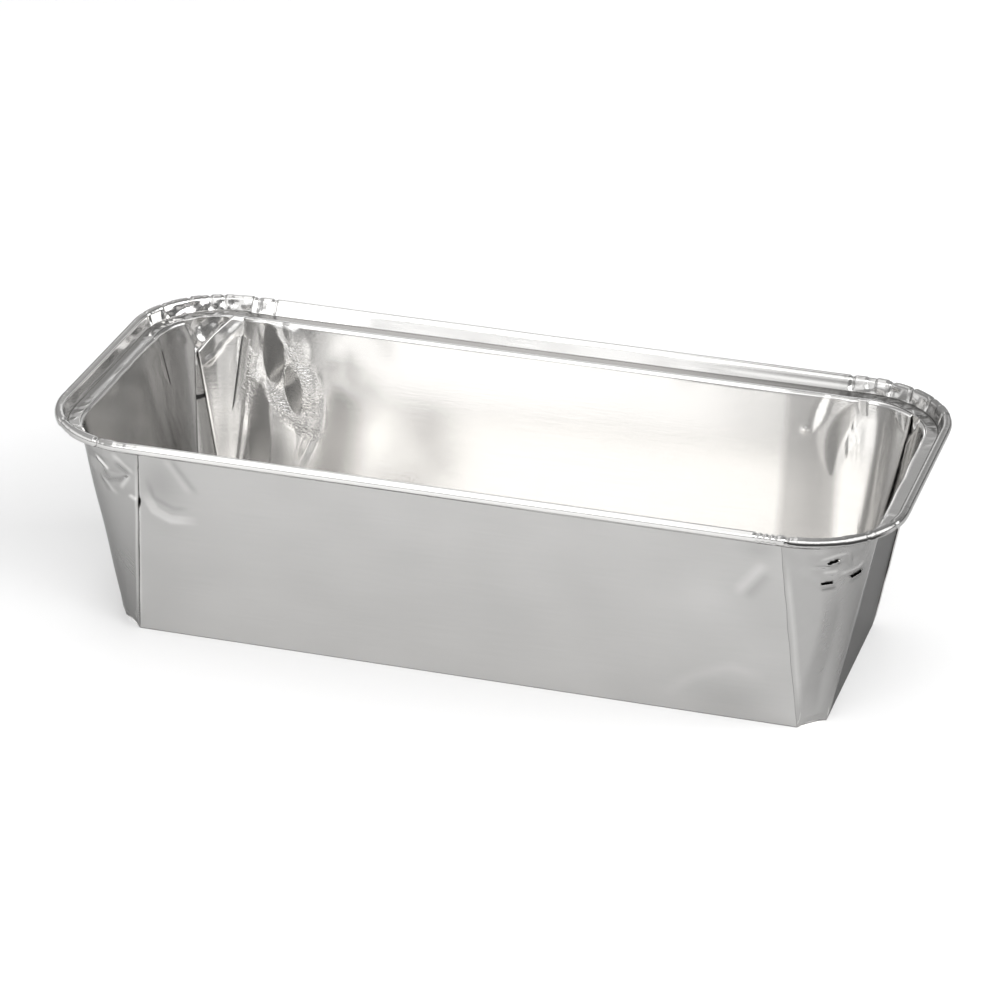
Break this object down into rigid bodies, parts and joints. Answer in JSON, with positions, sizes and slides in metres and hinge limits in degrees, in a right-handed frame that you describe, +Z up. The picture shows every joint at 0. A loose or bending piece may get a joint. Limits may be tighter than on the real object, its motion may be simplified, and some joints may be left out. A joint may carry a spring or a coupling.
{
  "type": "foil loaf tray",
  "caption": "Rectangular foil loaf tray with flared plain walls, box-pleated rounded corners, a flat ledge round the mouth and an outward-curled rim, for baking or keeping a loaf.",
  "frame": {"origin": "middle of the base's underside", "axes": "+X along the tray's length, +Y across it towards the back wall, +Z up through the mouth"},
  "size_m": [0.24, 0.111, 0.065],
  "materials": {
    "foil": "bright rolled foil"
  },
  "bodies": {
    "root": {"base_panel": "foil", "front_wall": "foil", "back_wall": "foil", "left_end_wall": "foil", "right_end_wall": "foil", "front_left_corner_panel": "foil", "front_right_corner_panel": "foil", "back_left_corner_panel": "foil", "back_right_corner_panel": "foil", "front_left_long_pleat": "foil", "front_left_end_pleat": "foil", "front_right_long_pleat": "foil", "front_right_end_pleat": "foil", "back_left_long_pleat": "foil", "back_left_end_pleat": "foil", "back_right_long_pleat": "foil", "back_right_end_pleat": "foil", "front_ledge": "foil", "back_ledge": "foil", "left_ledge": "foil", "right_ledge": "foil", "front_left_ledge_corner": "foil", "front_right_ledge_corner": "foil", "back_left_ledge_corner": "foil", "back_right_ledge_corner": "foil", "front_curl": "foil", "back_curl": "foil", "left_curl": "foil", "right_curl": "foil", "front_left_curl_corner": "foil", "front_right_curl_corner": "foil", "back_left_curl_corner": "foil", "back_right_curl_corner": "foil"}
  },
  "joints": []
}
